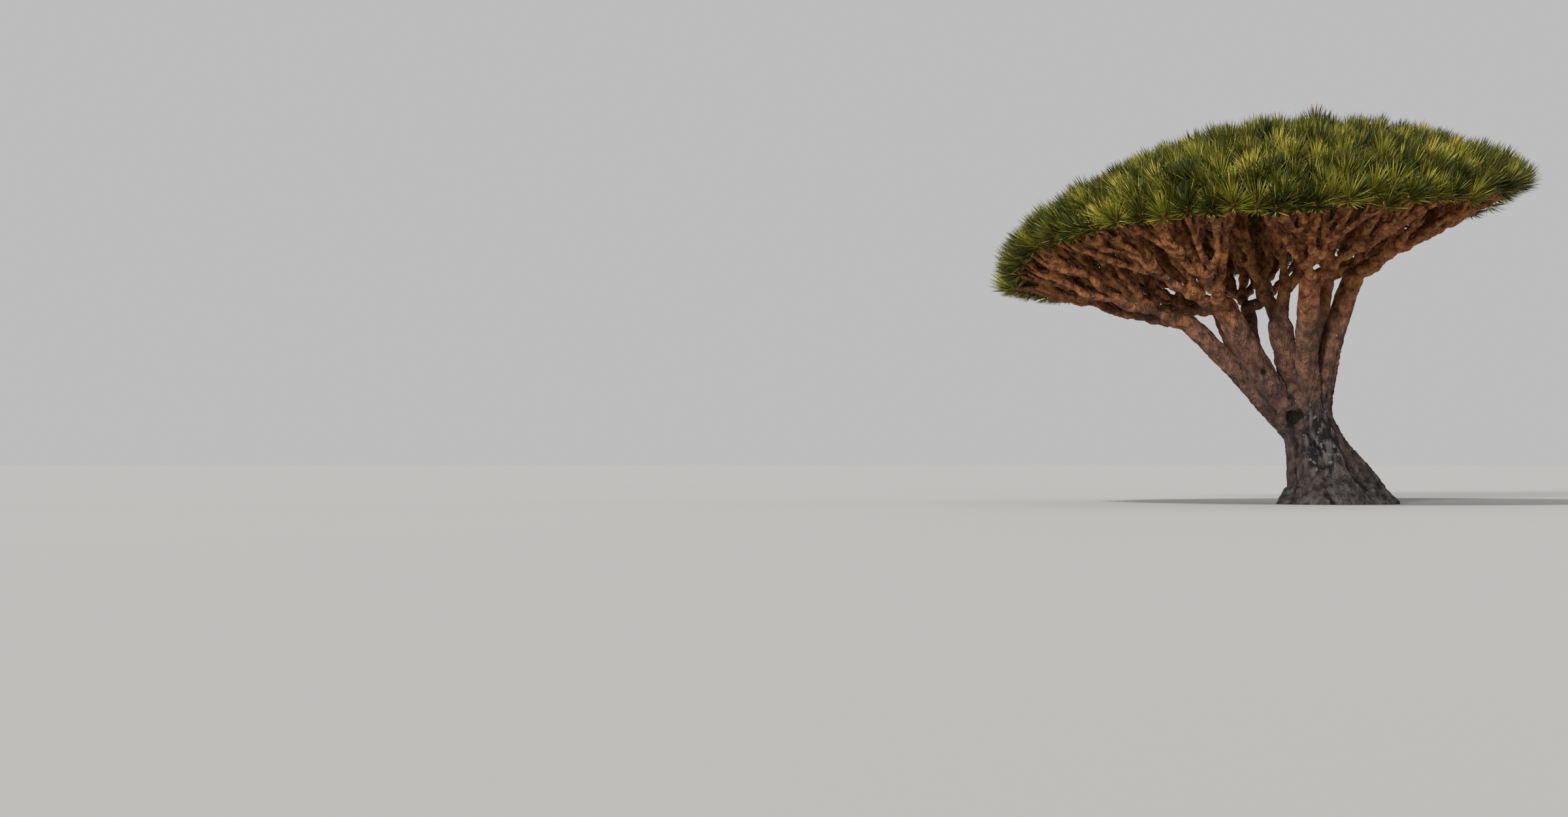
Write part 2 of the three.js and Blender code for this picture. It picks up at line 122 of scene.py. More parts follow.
# The trunk's root lobes: bearing in degrees, reach, and spread in radians.
ROOTS = [
    (-15, 0.26, 0.3), (45, 0.15, 0.42), (105, 0.2, 0.4),
    (165, 0.13, 0.36), (218, 0.28, 0.28), (268, 0.16, 0.4),
]
ROOT_HEIGHT = 0.38
FLARE_HEIGHT = 0.72
FLARE_SHAPE = 1.7

# The heights between which the barrel closes inside the stumps of the boughs.
CLOSING = (1.7, 2.6)

# The forking rule's shape.
ROSETTE_SHARE = math.pi / 640
RIM_CORNERS = 48
EASING_MIDDLE = 1.12
EASING_POWER = 6
FULL_FROM = 0.8
UNDERSIDE_SHAPE = 1.5
PAST_RIM = 1.5
INSET_AT_RIM = 1.05
DROP_AT_RIM = 0.62
TWIST = 0.9
SHIFT = 0.3
WANDER = 0.2
BRANCH_PART = 0.2
LENGTHENING = 1.1
LOW_UNTIL = 4.5
LOW_SHAPE = 1.2
BRANCH_FOOT = 0.8
ASIDE_FOOT = 0.6
ASIDE_SHARE = 0.9

# The rosette that stands above the rest, as a place in the unit disk.
TUFT_SPOT = (0.218, 0)
TUFT_RISE = 0.13

# Strands of wood that run down the trunk from its boughs, each a line through a few points. Grooves
# lie between them, this deep and wide, and end between these heights.
STRANDS = [
    [(-0.75, -0.45, 0), (-0.72, -0.25, 0.9), (-0.95, -0.1, 1.6), (-1.64, -0.06, 2.42)],
    [(-0.3, -0.9, 0), (-0.45, -0.55, 0.9), (-0.75, -0.45, 1.6), (-1.3, -0.4, 2.5)],
    [(0.25, -0.85, 0), (-0.02, -0.55, 0.9), (-0.3, -0.5, 1.6), (-0.45, -0.42, 2.7)],
    [(0.95, -0.35, 0), (0.35, -0.2, 0.9), (0.02, -0.15, 1.6), (-0.04, -0.06, 2.9)],
    [(0.7, 0.6, 0), (0.25, 0.4, 0.9), (-0.1, 0.45, 1.6), (-0.28, 0.47, 2.9)],
    [(-0.1, 0.95, 0), (-0.3, 0.55, 0.9), (-0.7, 0.5, 1.6), (-1.4, 0.72, 2.8)],
    [(-0.85, 0.35, 0), (-0.7, 0.25, 0.9), (-1.0, 0.35, 1.6), (-1.7, 0.56, 2.6)],
]

GROOVE_DEPTH = 0.035
GROOVE_WIDTH = 0.08
GROOVE_END = (1.9, 2.6)

# Old knots on the side seen in front: place as (x, z), radius and depth. The rest is measured in a
# knot's radius: how uneven its edge is, where its hollow is deepest and where it ends, and the collar of
# swollen bark around it, whose height is a part of the knot's depth.
KNOTS = [
    {"place": (-0.72, 1.66), "radius": 0.19, "depth": 0.11},
    {"place": (-0.73, 1.42), "radius": 0.11, "depth": 0.045},
    {"place": (-1.25, 2.52), "radius": 0.1, "depth": 0.055},
]
KNOT_EDGE = (0.35, 8)
KNOT_HOLLOW = (0.3, 1.05)
COLLAR = {"height": 0.35, "away": 1.35, "width": 0.3}

# The bark's relief: how high each kind stands out, and how many of its lumps go to a metre.
TRUNK_BARK = {
    "folds": (0.03, 5), "ridges": (0.034, 13), "plates": (0.05, 9),
    "lumps": (0.016, 13), "grain": (0.009, 34), "groove_depths": (0.05, 2.3),
}
BOUGH_BARK = {"folds": (0.024, 5), "lumps": (0.016, 9), "grain": (0.006, 30)}
TWIG_BARK = {"lumps": (0.02, 7), "knobs": (0.015, 19)}
# The level of their noise above which ridges stand out, the level at which plates are cut off, and how
# far the warp pushes each.
RIDGE_LEVEL = 0.8
PLATE_TOP = 0.2
RIDGE_WARP = 0.3
PLATE_WARP = 4
# Shifts that keep one pattern of noise from falling together with another.
RIDGE_SHIFT = Vector((3, 1, 7))
LUMP_SHIFT = Vector((5, 2, 1))
# How far the bark is set back, so that its relief doesn't thicken the wood.
TRUNK_SET_BACK = 0.006
TWIG_SET_BACK = 0.004

# How far the trunk's patterns are pushed aside, and how many such bends go to a metre.
WARP = {"broad": (0.16, 1.7), "fine": (0.05, 8)}
# How far the middle of the trunk leans to the left in a metre of height.
LEAN = 0.42
# Patterns that are drawn out along the wood see only this part of the height.
DRAWN_OUT = {"trunk_folds": 0.28, "trunk_plates": 0.5, "bough_folds": 0.5}

# How far the twigs bend, and how many bends go to a metre.
TWIG_BEND = (0.12, 1.9)
# A twig's thickness as a part of its radius: at a fork, how much less it is between forks, and how
# uneven it is.
FORK_SWELL = 1.06
WAIST = 0.32
UNEVEN_TWIG = (0.26, 4.5)

# Neighbouring pieces run on inside each other. One sinks this far below the other's bark.
DIVE = 0.025
# Where that happens, as shares of a limb's length. A stump runs on this far past its bough's stump share,
# and the bough starts this far before it. Then come the stretches over which pieces sink or come out.
# Those of the stump and the bough are counted from the stump share.
STUMP_PAST = 0.14
BOUGH_BEFORE = 0.2
STUMP_SINKS = (-0.06, 0.12)
BOUGH_RISES = (-0.1, 0.06)
BRANCH_SINKS = (0.45, 0.95)
STEM_RISES = (0.35, 0.85)

# Start of the noise that bends the twigs and warps the bark.
noise.seed_set(2)

# What each repeatable number is drawn for.
DRAW = {"bearing": 1, "shift": 2, "wander": (3, 4, 5), "tint": 30}


class CrownSettings(bpy.types.PropertyGroup):
    """Size of the crown"""

    middle: bpy.props.FloatVectorProperty(
        name="Middle", description="Middle of the rim", default=(-1.335, 0, 5.26), subtype="TRANSLATION"
    )
    tilt: bpy.props.FloatProperty(
        name="Tilt", description="How far the rim rises to the right",
        default=math.radians(11.2), unit="ROTATION",
    )
    nod: bpy.props.FloatProperty(
        name="Nod", description="How far the rim rises to the front",
        default=math.radians(2.6), unit="ROTATION",
    )
    twist: bpy.props.FloatProperty(
        name="Twist", description="How far the front left quarter is lifted", default=0.4, unit="LENGTH"
    )
    width: bpy.props.FloatProperty(
        name="Width", description="Width of the crown from left to right", default=10.44, unit="LENGTH"
    )
    depth: bpy.props.FloatProperty(
        name="Depth", description="Depth of the crown from front to back", default=10, unit="LENGTH"
    )
    rise: bpy.props.FloatProperty(
        name="Rise", description="Height of the dome above its rim", default=2.08, unit="LENGTH"
    )
    fullness: bpy.props.FloatProperty(
        name="Fullness", description="How square the dome's outline is", default=1.54
    )
    rosette: bpy.props.FloatProperty(
        name="Rosette Depth", description="How far below the dome the twigs end",
        default=0.37, unit="LENGTH",
    )


class WoodSettings(bpy.types.PropertyGroup):
    """Sizes of the wood"""

    barrel: bpy.props.FloatProperty(
        name="Barrel", description="Radius of the trunk above its foot", default=0.57, unit="LENGTH"
    )
    head: bpy.props.FloatProperty(
        name="Head", description="Radius of the trunk where it forks", default=0.43, unit="LENGTH"
    )
    flare: bpy.props.FloatProperty(
        name="Flare", description="How far the foot widens", default=0.4, unit="LENGTH"
    )
    twig_radius: bpy.props.FloatProperty(
        name="Twig Radius", description="Radius of a last twig", default=0.053, unit="LENGTH"
    )
    thickening: bpy.props.FloatProperty(
        name="Thickening", description="Growth of the radius at each fork downwards", default=1.175
    )
    trunk_grain: bpy.props.FloatProperty(
        name="Trunk Grain", description="Size of a face on the trunk", default=0.0185, unit="LENGTH"
    )
    bough_grain: bpy.props.FloatProperty(
        name="Bough Grain", description="Size of a face on the boughs", default=0.02, unit="LENGTH"
    )
    twig_grain: bpy.props.FloatProperty(
        name="Twig Grain", description="Size of a face on the twigs", default=0.033, unit="LENGTH"
    )


class LeafSettings(bpy.types.PropertyGroup):
    """Sizes of the leaf rosettes"""

    count: bpy.props.IntProperty(
        name="Leaves", description="Leaves in each rosette", default=125
    )
    length: bpy.props.FloatProperty(
        name="Length", description="Length of a full leaf", default=0.49, unit="LENGTH"
    )
    width: bpy.props.FloatProperty(
        name="Width", description="Width of a leaf", default=0.031, unit="LENGTH"
    )
    thickness: bpy.props.FloatProperty(
        name="Thickness", description="Thickness of a leaf at its keel", default=0.006, unit="LENGTH"
    )
    spread: bpy.props.FloatProperty(
        name="Spread", description="How far the outer leaves lean out",
        default=math.radians(92), unit="ROTATION",
    )
    seed: bpy.props.IntProperty(
        name="Seed", description="Start of the leaves' random numbers", default=7
    )


class StageSettings(bpy.types.PropertyGroup):
    """Camera, floor and light"""

    eye: bpy.props.FloatVectorProperty(
        name="Eye", description="Place of the camera", default=(0, -56, 0.9), subtype="TRANSLATION"
    )
    yaw: bpy.props.FloatProperty(
        name="Yaw", description="How far the camera looks to the left",
        default=math.radians(10.8), unit="ROTATION",
    )
    pitch: bpy.props.FloatProperty(
        name="Pitch", description="How far the camera looks up",
        default=math.radians(0.97), unit="ROTATION",
    )
    lens: bpy.props.FloatProperty(
        name="Lens", description="Focal length on a 36 mm wide sensor", default=65.85, unit="CAMERA"
    )
    floor_radius: bpy.props.FloatProperty(
        name="Floor Radius", description="Radius of the floor", default=260, unit="LENGTH"
    )
    floor_color: bpy.props.FloatVectorProperty(
        name="Floor", description="Colour of the floor", default=(0.33, 0.325, 0.315), subtype="COLOR"
    )


# The rule of the crown and its forks.


def chance(number, purpose):
    """A repeatable number from 0 to 1 for one limb and one purpose."""
    value = math.sin(number * 12.9898 + purpose * 78.233) * 43758.5453
    return value - math.floor(value)


def unit(way):
    """The direction of a vector."""
    return way / np.linalg.norm(way)


def clip(polygon, normal, offset):
    """What is left of a convex polygon where place . normal is at least offset."""
    heights = polygon @ normal - offset
    kept = []
    for k, (corner, here) in enumerate(zip(polygon, heights)):
        following = (k + 1) % len(polygon)
        there = heights[following]
        if here >= 0:
            kept.append(corner)
        if (here >= 0) != (there >= 0):
            kept.append(corner + here / (here - there) * (polygon[following] - corner))
    return np.array(kept)


def measure(polygon):
    """Area, middle and the bearing of the longest way across a polygon."""
    x, y = polygon.T
    u, v = np.roll(polygon, -1, axis=0).T
    twice = x * v - u * y
    area = twice.sum() / 2
    middle = np.array([(twice * (x + u)).sum(), (twice * (y + v)).sum()]) / 6 / area
    xx = (twice * (x * x + x * u + u * u)).sum() / 12 / area - middle[0] ** 2
    yy = (twice * (y * y + y * v + v * v)).sum() / 12 / area - middle[1] ** 2
    xy = (twice * (2 * x * y + x * v + u * y + 2 * u * v)).sum() / 24 / area - middle[0] * middle[1]
    return area, middle, 0.5 * math.atan2(2 * xy, xx - yy)


def share_of(name):
    """The share of the disk that lies nearer to one bough's middle than to any other's."""
    angles = 2 * math.pi * np.arange(RIM_CORNERS) / RIM_CORNERS
    polygon = np.stack([np.cos(angles), np.sin(angles)], axis=1)
    own = np.array(BOUGHS[name]["share"])
    for other_name, other_bough in BOUGHS.items():
        if other_name != name:
            other = np.array(other_bough["share"])
            polygon = clip(polygon, own - other, (own @ own - other @ other) / 2)
    return polygon


@dataclass
class Limb:
    """One limb, the share of the crown that it serves and the limbs that it forks into."""

    number: int
    left: int
    middle: np.ndarray
    start: np.ndarray
    end: np.ndarray
    children: list


class Crown:
    """The dome of leaf tips on its tilted rim, over a unit disk."""

    def __init__(self, settings):
        tilted = Matrix.Rotation(-settings.tilt, 4, "Y") @ Matrix.Rotation(-settings.nod, 4, "X")
        self.lean = Matrix.Translation(settings.middle) @ tilted
        self.half = np.array([settings.width / 2 / math.cos(settings.tilt), settings.depth / 2])
        self.twist = settings.twist
        self.rise = settings.rise
        self.fullness = settings.fullness
        self.rosette = settings.rosette

    def twist_at(self, p, q):
        """How far the twist lifts a spot of the unit disk."""
        return 2 * self.twist * p * min(0, q)

    def underside_slope(self, fork):
        """How steeply a bough's underside falls from the rim in to its fork."""
        x, y, z = self.lean.inverted() @ Vector(fork)
        p, q = x / self.half[0], y / self.half[1]
        return (self.twist_at(p, q) - z - self.rosette * DROP_AT_RIM) / (1 - math.hypot(p, q))

    def point(self, spot, depth, lowness=0.0, slope=0.0):
        """A point some depth inside the leaf tips, over a spot of the disk. At lowness 1 it lies on
        the underside."""
        away = math.hypot(*spot)
        eased = EASING_MIDDLE - (EASING_MIDDLE - 1) * away**EASING_POWER
        radius = away * eased if away < 1 else 1
        arch = max(0, 1 - radius**self.fullness) ** (1 / self.fullness)
        dome = arch if away < 1 else PAST_RIM * (1 - away)
        drop = depth * DROP_AT_RIM
        top = dome * self.rise - drop - (depth - drop) * max(0, dome)
        under = -drop - slope * (1 - radius)
        sunk = lowness * min(1, radius / FULL_FROM) ** UNDERSIDE_SHAPE
        outward = radius / away if away > 0 else 0
        x, y = np.array(spot) * outward * (self.half - depth * INSET_AT_RIM)
        z = top + sunk * (under - top) + self.twist_at(*spot)
        return np.array(self.lean @ Vector((x, y, z)))

    def limb_end(self, start, number, left, middle, slope, part):
        """Where a limb ends: part of the way to the middle of its share, early limbs low down."""
        if left == 0:
            return self.point(middle, self.rosette)
        lowness = min(1, left / LOW_UNTIL) ** LOW_SHAPE
        way = self.point(middle, self.rosette, lowness, slope) - start
        part = part or (LENGTHENING - 1) / (LENGTHENING ** (left + 1) - 1)
        drift = np.array([chance(number, purpose) - 0.5 for purpose in DRAW["wander"]])
        return start + part * way + WANDER * np.linalg.norm(way) * part * drift

    def grow(self, start, number, share, slope, part=None):
        """The whole fork tree of a share, down to one rosette a limb."""
        area, middle, _ = measure(share)
        left = max(0, round(math.log2(area / ROSETTE_SHARE)))
        end = self.limb_end(start, number, left, middle, slope, part)
        children = []
        if left > 0:
            children = [self.grow(end, *half, slope) for half in halves(number, share)]
        return Limb(number, left, middle, start, end, children)

    def branches(self, name):
        """The two limbs that a bough forks into, with all that they bear."""
        bough = BOUGHS[name]
        slope = bough["hang"] * self.underside_slope(bough["fork"])
        both = halves(bough["seed"], share_of(name))
        return [self.grow(np.array(bough["fork"]), *half, slope, BRANCH_PART) for half in both]


def halves(number, share):
    """The two halves of a share, each with the number of the limb that serves it."""
    area, middle, bearing = measure(share)
    angle = bearing + TWIST * (chance(number, DRAW["bearing"]) - 0.5)
    normal = np.array([math.cos(angle), math.sin(angle)])
    offset = normal @ middle + SHIFT * math.sqrt(area) * (chance(number, DRAW["shift"]) - 0.5)
    first = clip(share, normal, offset)
    second = clip(share, -normal, -offset)
    return [(2 * number, first), (2 * number + 1, second)]


def last_twigs(limb):
    """The limbs at the ends of a fork tree, one for each rosette."""
    if not limb.children:
        return [limb]
    return [twig for child in limb.children for twig in last_twigs(child)]


# Limbs as curves, and curves as wood.


def through(points, steps):
    """Places along a smooth curve through the points, with some steps to each stretch."""
    points = [np.array(point, float) for point in points]
    ends = [2 * points[0] - points[1], 2 * points[-1] - points[-2]]
    spots = [ends[0], *points, ends[1]]
    places = [points[0]]
    for stretch in zip(spots, spots[1:], spots[2:], spots[3:]):
        knots = [0.0]
        for here, there in zip(stretch, stretch[1:]):
            knots.append(knots[-1] + math.sqrt(np.linalg.norm(there - here)))
        for step in range(1, steps + 1):
            knot = knots[1] + (knots[2] - knots[1]) * step / steps
            level = list(stretch)
            for order in (1, 2):
                level = [
                    mix(level[k], level[k + 1], knots[k], knots[k + order], knot)
                    for k in range(len(level) - 1)
                ]
            places.append(mix(level[0], level[1], knots[1], knots[2], knot))
    return places


def mix(here, there, start, stop, value):
    """What lies between here and there, as value lies between start and stop."""
    share = (value - start) / (stop - start)
    return here + share * (there - here)


def ease(value, start, stop):
    """A smooth step from 0 at start to 1 at stop."""
    share = min(1, max(0, (value - start) / (stop - start)))
    return share * share * (3 - 2 * share)


def bent(place, free=1.0):
    """A place on a twig, moved aside by its crooked growth."""
    reach, often = TWIG_BEND
    return place + reach * free * np.array(noise.noise_vector(Vector(place) * often))


def radius_for(wood, left):
    """Radius of a limb with some forks still to come."""
    return wood.twig_radius * wood.thickening**left


def runs_from(wood, limb, spots, radii):
    """Every run of a fork tree. A run goes on through its forks into the child that turns least."""
    spots = [*spots, limb.end]
    radii = [*radii, radius_for(wood, limb.left)]
    if not limb.children:
        return [(spots, radii)]
    straight = unit(limb.end - limb.start)
    onward, aside = sorted(limb.children, key=lambda child: -unit(child.end - child.start) @ straight)
    foot = ASIDE_SHARE * radius_for(wood, aside.left + ASIDE_FOOT)
    return runs_from(wood, onward, spots, radii) + runs_from(wood, aside, [aside.start], [foot])


def bough_line(bough, first, last, steps=12):
    """Places and radii along a bough, from one share of its length to another."""
    by = np.array(bough["by"])
    low, high = next((a, b) for a, b in zip(TRUNK_AXIS, TRUNK_AXIS[1:]) if b[1] > bough["foot"])
    axis = mix(low[0], high[0], low[1], high[1], bough["foot"])
    foot = np.array([axis + FOOT_SHARE * (by[0] - axis), FOOT_SHARE * by[1], bough["foot"]])
    places = through([foot, by, bough["fork"]], steps)
    thick, thin = bough["radii"]
    line = []
    for k, place in enumerate(places):
        share = k / (2 * steps)
        if first <= share <= last:
            line.append((share, place, thick + (thin - thick) * share**BOUGH_TAPER))
    return line


def round_ends(line):
    """The line with its two ends drawn in, as places and radii, to round them off."""
    (first, foot_radius), (last, tip_radius) = line[0], line[-1]
    back = unit(first - line[1][0]) * foot_radius
    on = unit(last - line[-2][0]) * tip_radius
    angles = [math.radians(degrees) for degrees in (30, 60, 85)]
    foot = [(first + back * math.sin(a), foot_radius * math.cos(a)) for a in reversed(angles)]
    tip = [(last + on * math.sin(a), tip_radius * math.cos(a)) for a in angles]
    return [*foot, *line, *tip]


def tubes(name, lines, sides=12):
    """One mesh of closed round tubes. Each line is a list of places and radii."""
    curve = bpy.data.curves.new(name, "CURVE")
    curve.dimensions = "3D"
    curve.bevel_depth = 1
    curve.bevel_resolution = (sides - 4) // 2
    curve.use_fill_caps = True
    for line in lines:
        spline = curve.splines.new("POLY")
        spline.points.add(len(line) - 1)
        spline.points.foreach_set("co", np.array([[*place, 1] for place, _ in line]).ravel())
        spline.points.foreach_set("radius", np.array([radius for _, radius in line]))
    holder = bpy.data.objects.new(name, curve)
    mesh = shown_mesh(holder)
    bpy.data.curves.remove(curve)
    return mesh


def shown_mesh(holder):
    """The mesh that an object shows, with its modifiers. The object is then removed."""
    bpy.context.scene.collection.objects.link(holder)
    graph = bpy.context.evaluated_depsgraph_get()
    mesh = bpy.data.meshes.new_from_object(holder.evaluated_get(graph))
    bpy.data.objects.remove(holder)
    return mesh


def fused(name, meshes, grain, smoothing):
    """Overlapping closed meshes as one skin of even faces, smoothed where limbs meet."""
    together = bmesh.new()
    for mesh in meshes:
        together.from_mesh(mesh)
    soup = bpy.data.meshes.new(name)
    together.to_mesh(soup)
    together.free()
    holder = bpy.data.objects.new(name, soup)
    union = holder.modifiers.new("Union", "REMESH")
    union.mode = "VOXEL"
    union.voxel_size = grain
    union.use_smooth_shade = True
    soft = holder.modifiers.new("Soften", "SMOOTH")
    soft.factor = 0.5
    soft.iterations = smoothing
    skin = shown_mesh(holder)
    skin.name = name
    return skin


def carve(mesh, relief):
    """Moves each vertex along its normal by relief(place, normal), and keeps how deep it sinks, which the
    bark reads for its painted shade.
    """
    moved = np.array([relief(vertex.co, vertex.normal) for vertex in mesh.vertices])
    places = np.empty(3 * len(moved))
    normals = np.empty(3 * len(moved))
    mesh.vertices.foreach_get("co", places)
    mesh.vertex_normals.foreach_get("vector", normals)
    mesh.vertices.foreach_set("co", places + normals * np.repeat(moved, 3))
    hollow = mesh.attributes.new("hollow", "FLOAT", "POINT")
    hollow.data.foreach_set("value", -moved)
    mesh.update()


def bumps(kind, place):
    """How high one kind of relief stands at a place."""
    height, often = kind
    return height * noise.noise(place * often)


def push(kind, place):
    """How far one kind of warp pushes a pattern aside at a place."""
    reach, often = kind
    return reach * noise.noise_vector(place * often)


def at_knots(place, normal):
    """How far the old knots move a place on the side seen in front."""
    moved = 0.0
    if normal.y < 0:
        for knot in KNOTS:
            x, z = knot["place"]
            away = math.hypot(place.x - x, place.z - z) / knot["radius"]
            away += bumps(KNOT_EDGE, place)
            moved -= knot["depth"] * (1 - ease(away, *KNOT_HOLLOW))
            past = (away - COLLAR["away"]) / COLLAR["width"]
            moved += COLLAR["height"] * knot["depth"] * math.exp(-(past**2))
    return moved


def strand_at(strand, height):
    """Where a strand passes a height, as (x, y)."""
    for low, high in zip(strand, strand[1:]):
        if height < high[2] or high is strand[-1]:
            share = (height - low[2]) / (high[2] - low[2])
            return low[0] + share * (high[0] - low[0]), low[1] + share * (high[1] - low[1])


def groove(place):
    """A number from 0 on a strand to 1 half way to the next strand."""
    spots = [strand_at(strand, place.z) for strand in STRANDS]
    first, second = sorted(math.dist(spot, (place.x, place.y)) for spot in spots)[:2]
    return math.exp(-((second - first) / GROOVE_WIDTH) ** 2)


def trunk_relief(place, normal):
    """Grooves between the strands of wood, folds that run down the trunk, lumps and old knots."""
    upright = Vector((place.x + LEAN * place.z, place.y, DRAWN_OUT["trunk_folds"] * place.z))
    warp = push(WARP["broad"], place) + push(WARP["fine"], upright)
    moved = bumps(TRUNK_BARK["folds"], upright)
    moved += bumps(TRUNK_BARK["lumps"], place)
    moved += bumps(TRUNK_BARK["grain"], place)
    height, often = TRUNK_BARK["ridges"]
    ridges = 1 - abs(noise.noise((upright + RIDGE_WARP * warp) * often + RIDGE_SHIFT))
    moved += height * (ridges - RIDGE_LEVEL)
    height, often = TRUNK_BARK["plates"]
    flat = Vector((place.x, place.y, DRAWN_OUT["trunk_plates"] * place.z))
    plates = abs(noise.noise(flat * often + warp * PLATE_WARP))
    moved += height * min(PLATE_TOP, plates)
    low = 1 - ease(place.z, *GROOVE_END)
    deep = max(0, GROOVE_DEPTH + bumps(TRUNK_BARK["groove_depths"], place))
    return moved - TRUNK_SET_BACK - deep * low * groove(place + warp) + at_knots(place, normal)


def bough_relief(place, normal):
    """Lumps and shallow folds along the boughs."""
    upright = Vector((place.x, place.y, DRAWN_OUT["bough_folds"] * place.z))
    moved = bumps(BOUGH_BARK["folds"], upright)
    moved += bumps(BOUGH_BARK["grain"], place)
    height, often = BOUGH_BARK["lumps"]
    moved += height * noise.noise(place * often + LUMP_SHIFT)
    return moved + at_knots(place, normal)


def twig_relief(place, normal):
    """Knobbly bark on the twigs."""
    return bumps(TWIG_BARK["lumps"], place) + bumps(TWIG_BARK["knobs"], place) - TWIG_SET_BACK


# Materials.


def linear(hex_color):
    """A colour written as sRGB hex, in linear light with full alpha."""
    parts = [int(hex_color[k : k + 2], 16) / 255 for k in (1, 3, 5)]
    return (*[c / 12.92 if c <= 0.04045 else ((c + 0.055) / 1.055) ** 2.4 for c in parts], 1)


def add_node(material, kind, inputs, **settings):
    """Adds a node with its settings. An input is a value, or another node's socket to link from."""
    made = material.node_tree.nodes.new("ShaderNode" + kind)
    for name, value in settings.items():
        setattr(made, name, value)
    for socket, value in inputs.items():
        if isinstance(value, bpy.types.NodeSocket):
            material.node_tree.links.new(value, made.inputs[socket])
        else:
            made.inputs[socket].default_value = value
    return made


def new_material(name):
    """A material with a bare Principled shader, and its Object coordinates."""
    material = bpy.data.materials.new(name)
    material.use_nodes = True
    place = add_node(material, "TexCoord", {}).outputs["Object"]
    return material, material.node_tree.nodes["Principled BSDF"], place


def blend(material, factor, first, second):
    """The socket of a colour that goes from first to second with the factor."""
    inputs = {0: factor, 6: first, 7: second}
    return add_node(material, "Mix", inputs, data_type="RGBA").outputs[2]


def between(material, value, low, high):
    """The socket of a mask that goes from 0 at low to 1 at high."""
    inputs = {"Value": value, "From Min": low, "From Max": high}
    return add_node(material, "MapRange", inputs).outputs["Result"]


def combine(material, operation, *values, kind="Math", output=0):
    """The socket of a sum, a product or the like of one or two values."""
    return add_node(material, kind, dict(enumerate(values)), operation=operation).outputs[output]


def patches(material, place, millimetres, detail=3.0):
    """The socket of a soft noise with patches about this wide."""
    inputs = {"Vector": place, "Scale": 500 / millimetres, "Detail": detail}
    return add_node(material, "TexNoise", inputs).outputs["Fac"]


# The bark's darker and lighter colour, and the heights in metres between which each pair gives way to
# the next: lichen at the foot, mauve grey trunk, brown boughs, reddish twigs.
BARK = [
    (("#1e1b1a", "#575350"), None),
    (("#332a29", "#5a4942"), (0.25, 0.85)),
    (("#4a342a", "#805b46"), (1.5, 2.7)),
    (("#663a22", "#c7844f"), (3.4, 4.3)),
]
# What lies over the bark's own colours, and the near-black painted shade that darkens it where the relief
# sinks deep.
MARKS = {
    "streaks": "#2f1e17", "specks": "#321e16", "worn": "#5a5451", "blackened": "#1a1717",
    "lichen": "#717168", "flecks": "#b5ab9b", "painted_shade": "#19110d",
}
# The weathered patch on the trunk's right side, in front: middle and half sizes.
PATCH = ((-0.14, -0.6, 1.2), (0.42, 0.5, 0.85))
# How deep in metres the relief sinks where its painted shade begins and is full.
SHADE = (0.006, 0.045)


def bark_material(name, fleck_limit):
    """Old bark of a tree that heals its scars with red resin: dull and rough, with painted shade
    darkening the folds, grey with lichen at the foot and redder with the height, with a few pale flecks."""
    material, shader, place = new_material(name)
    broad = patches(material, place, 420)
    mottle = patches(material, place, 80, 5)
    fine = patches(material, place, 18, 4)
    height = add_node(material, "SeparateXYZ", {"Vector": place}).outputs["Z"]
    height = combine(material, "SUBTRACT", height, between(material, broad, 0.3, 0.7))
    height = combine(material, "ADD", height, 0.5)
    (dark, light), _ = BARK[0]
    dark, light = linear(dark), linear(light)
    for (darker, lighter), (low, high) in BARK[1:]:
        turned = between(material, height, low, high)
        dark = blend(material, turned, dark, linear(darker))
        light = blend(material, turned, light, linear(lighter))
    color = blend(material, between(material, mottle, 0.36, 0.64), dark, light)
    drawn_out = combine(material, "MULTIPLY", place, (1, 1, 0.3), kind="VectorMath")
    streaks = patches(material, drawn_out, 55, 6)
    color = blend(material, between(material, streaks, 0.54, 0.8), color, linear(MARKS["streaks"]))
    color = blend(material, between(material, fine, 0.56, 0.74), color, linear(MARKS["specks"]))
    middle, half = PATCH
    away = combine(material, "SUBTRACT", place, middle, kind="VectorMath")
    away = combine(material, "DIVIDE", away, half, kind="VectorMath")
    away = combine(material, "LENGTH", away, kind="VectorMath", output="Value")
    away = combine(material, "ADD", away, mottle)
    weathered = between(material, away, 1.6, 1.25)
    blackened = between(material, streaks, 0.42, 0.56)
    dark_grey = blend(material, blackened, linear(MARKS["worn"]), linear(MARKS["blackened"]))
    color = blend(material, weathered, color, dark_grey)
    lichen = between(material, patches(material, place, 50, 4), 0.6, 0.66)
    lichen = combine(material, "MULTIPLY", lichen, weathered)
    color = blend(material, lichen, color, linear(MARKS["lichen"]))
    fleck = between(material, patches(material, place, 42, 3), fleck_limit, fleck_limit + 0.03)
    color = blend(material, fleck, color, linear(MARKS["flecks"]))
    hollow = add_node(material, "Attribute", {}, attribute_name="hollow").outputs["Fac"]
    # Painted shade: the bark turns near black where the relief sinks deep, as if shade fell in its folds.
    color = blend(material, between(material, hollow, *SHADE), color, linear(MARKS["painted_shade"]))
    material.node_tree.links.new(color, shader.inputs["Base Color"])
    shader.inputs["Roughness"].default_value = 0.88
    shader.inputs["Specular IOR Level"].default_value = 0.2
    cracks = combine(material, "ABSOLUTE", combine(material, "SUBTRACT", streaks, 0.47))
    cracks = between(material, cracks, 0.0, 0.08)
    rough = combine(material, "ADD", combine(material, "ADD", mottle, fine), cracks)
    bump = add_node(material, "Bump", {"Height": rough, "Strength": 0.9, "Distance": 0.02})
    material.node_tree.links.new(bump.outputs["Normal"], shader.inputs["Normal"])
    return material


